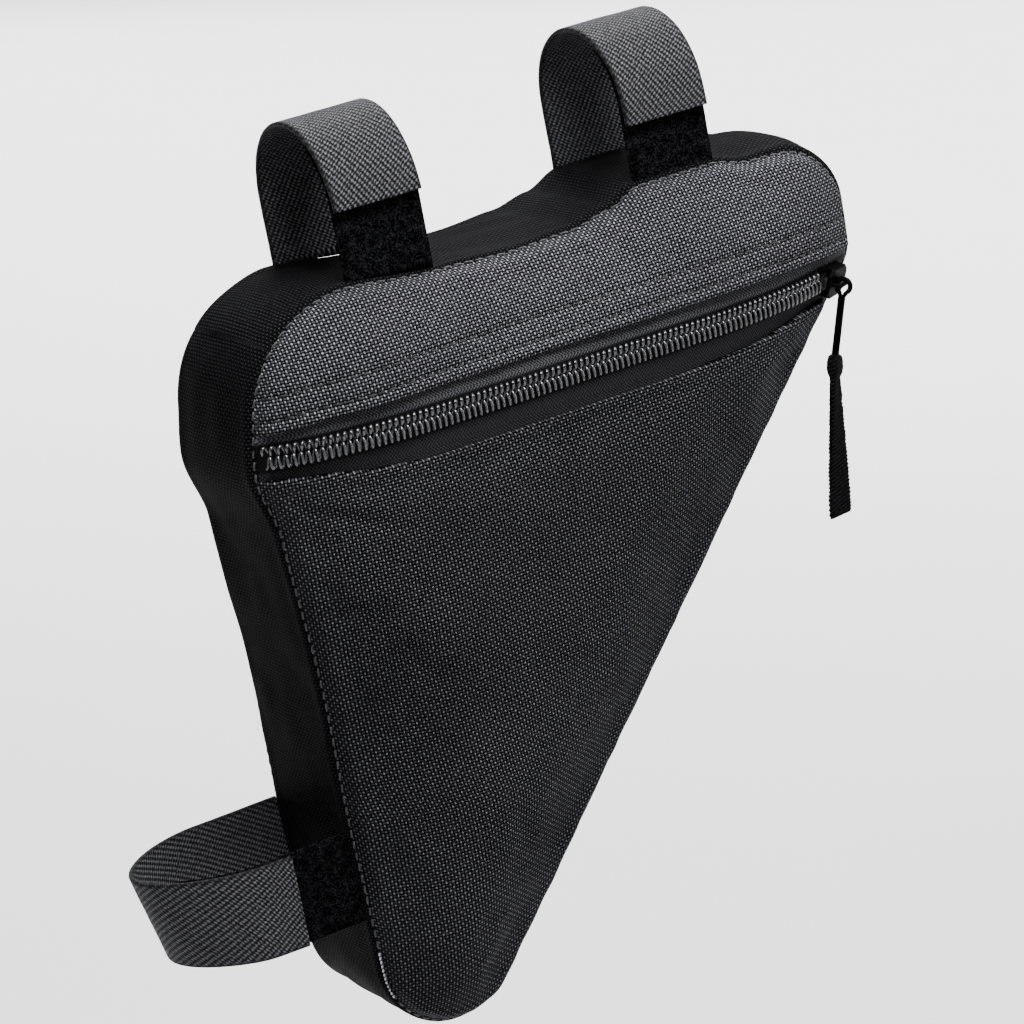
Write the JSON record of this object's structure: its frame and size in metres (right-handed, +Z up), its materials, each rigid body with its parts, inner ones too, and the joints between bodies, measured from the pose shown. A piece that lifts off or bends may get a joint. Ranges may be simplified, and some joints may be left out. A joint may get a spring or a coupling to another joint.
{
  "type": "bicycle frame bag",
  "caption": "Triangular black cloth frame bag with a rounded lower point, a long coil zip with a hanging puller, and hook-and-loop straps for the top tube and the seat tube.",
  "frame": {"origin": "on the top tube's axis, midway between the two top straps", "axes": "+Z up as the bag hangs, +X towards the handlebar, -Y the side with the zip"},
  "size_m": [0.2096, 0.0693, 0.2646],
  "materials": {
    "cloth": "matt coarse weave",
    "gusset_cloth": "matt fine weave",
    "zip_tape": "woven tape",
    "coil": "satin nylon",
    "metal": "black enamel, worn",
    "webbing": "ribbed webbing",
    "loop_tape": "velvet pile",
    "hook_tape": "dotted weave"
  },
  "bodies": {
    "bag": {"front_panel_upper": "cloth", "front_panel_lower": "cloth", "back_panel": "cloth", "gusset": "gusset_cloth", "zip_tape_upper": "zip_tape", "zip_tape_lower": "zip_tape", "zip_coil": "coil", "zip_slider": "metal", "strap_top_rear_loop_tape": "loop_tape", "strap_top_rear_hook_tape": "hook_tape", "strap_top_front_loop_tape": "loop_tape", "strap_top_front_hook_tape": "hook_tape", "strap_seat_loop_tape": "loop_tape", "strap_seat_hook_tape": "hook_tape"},
    "puller": {"puller_link": "metal", "puller_tab": "webbing"}
  },
  "joints": [
    {"name": "puller_swing", "type": "hinge", "parent": "bag", "child": "puller", "pos_m": [0.09256, -0.03219, -0.03985], "axis": [-0.8818, -0.4716, 0], "range_deg": [0, 120]}
  ]
}
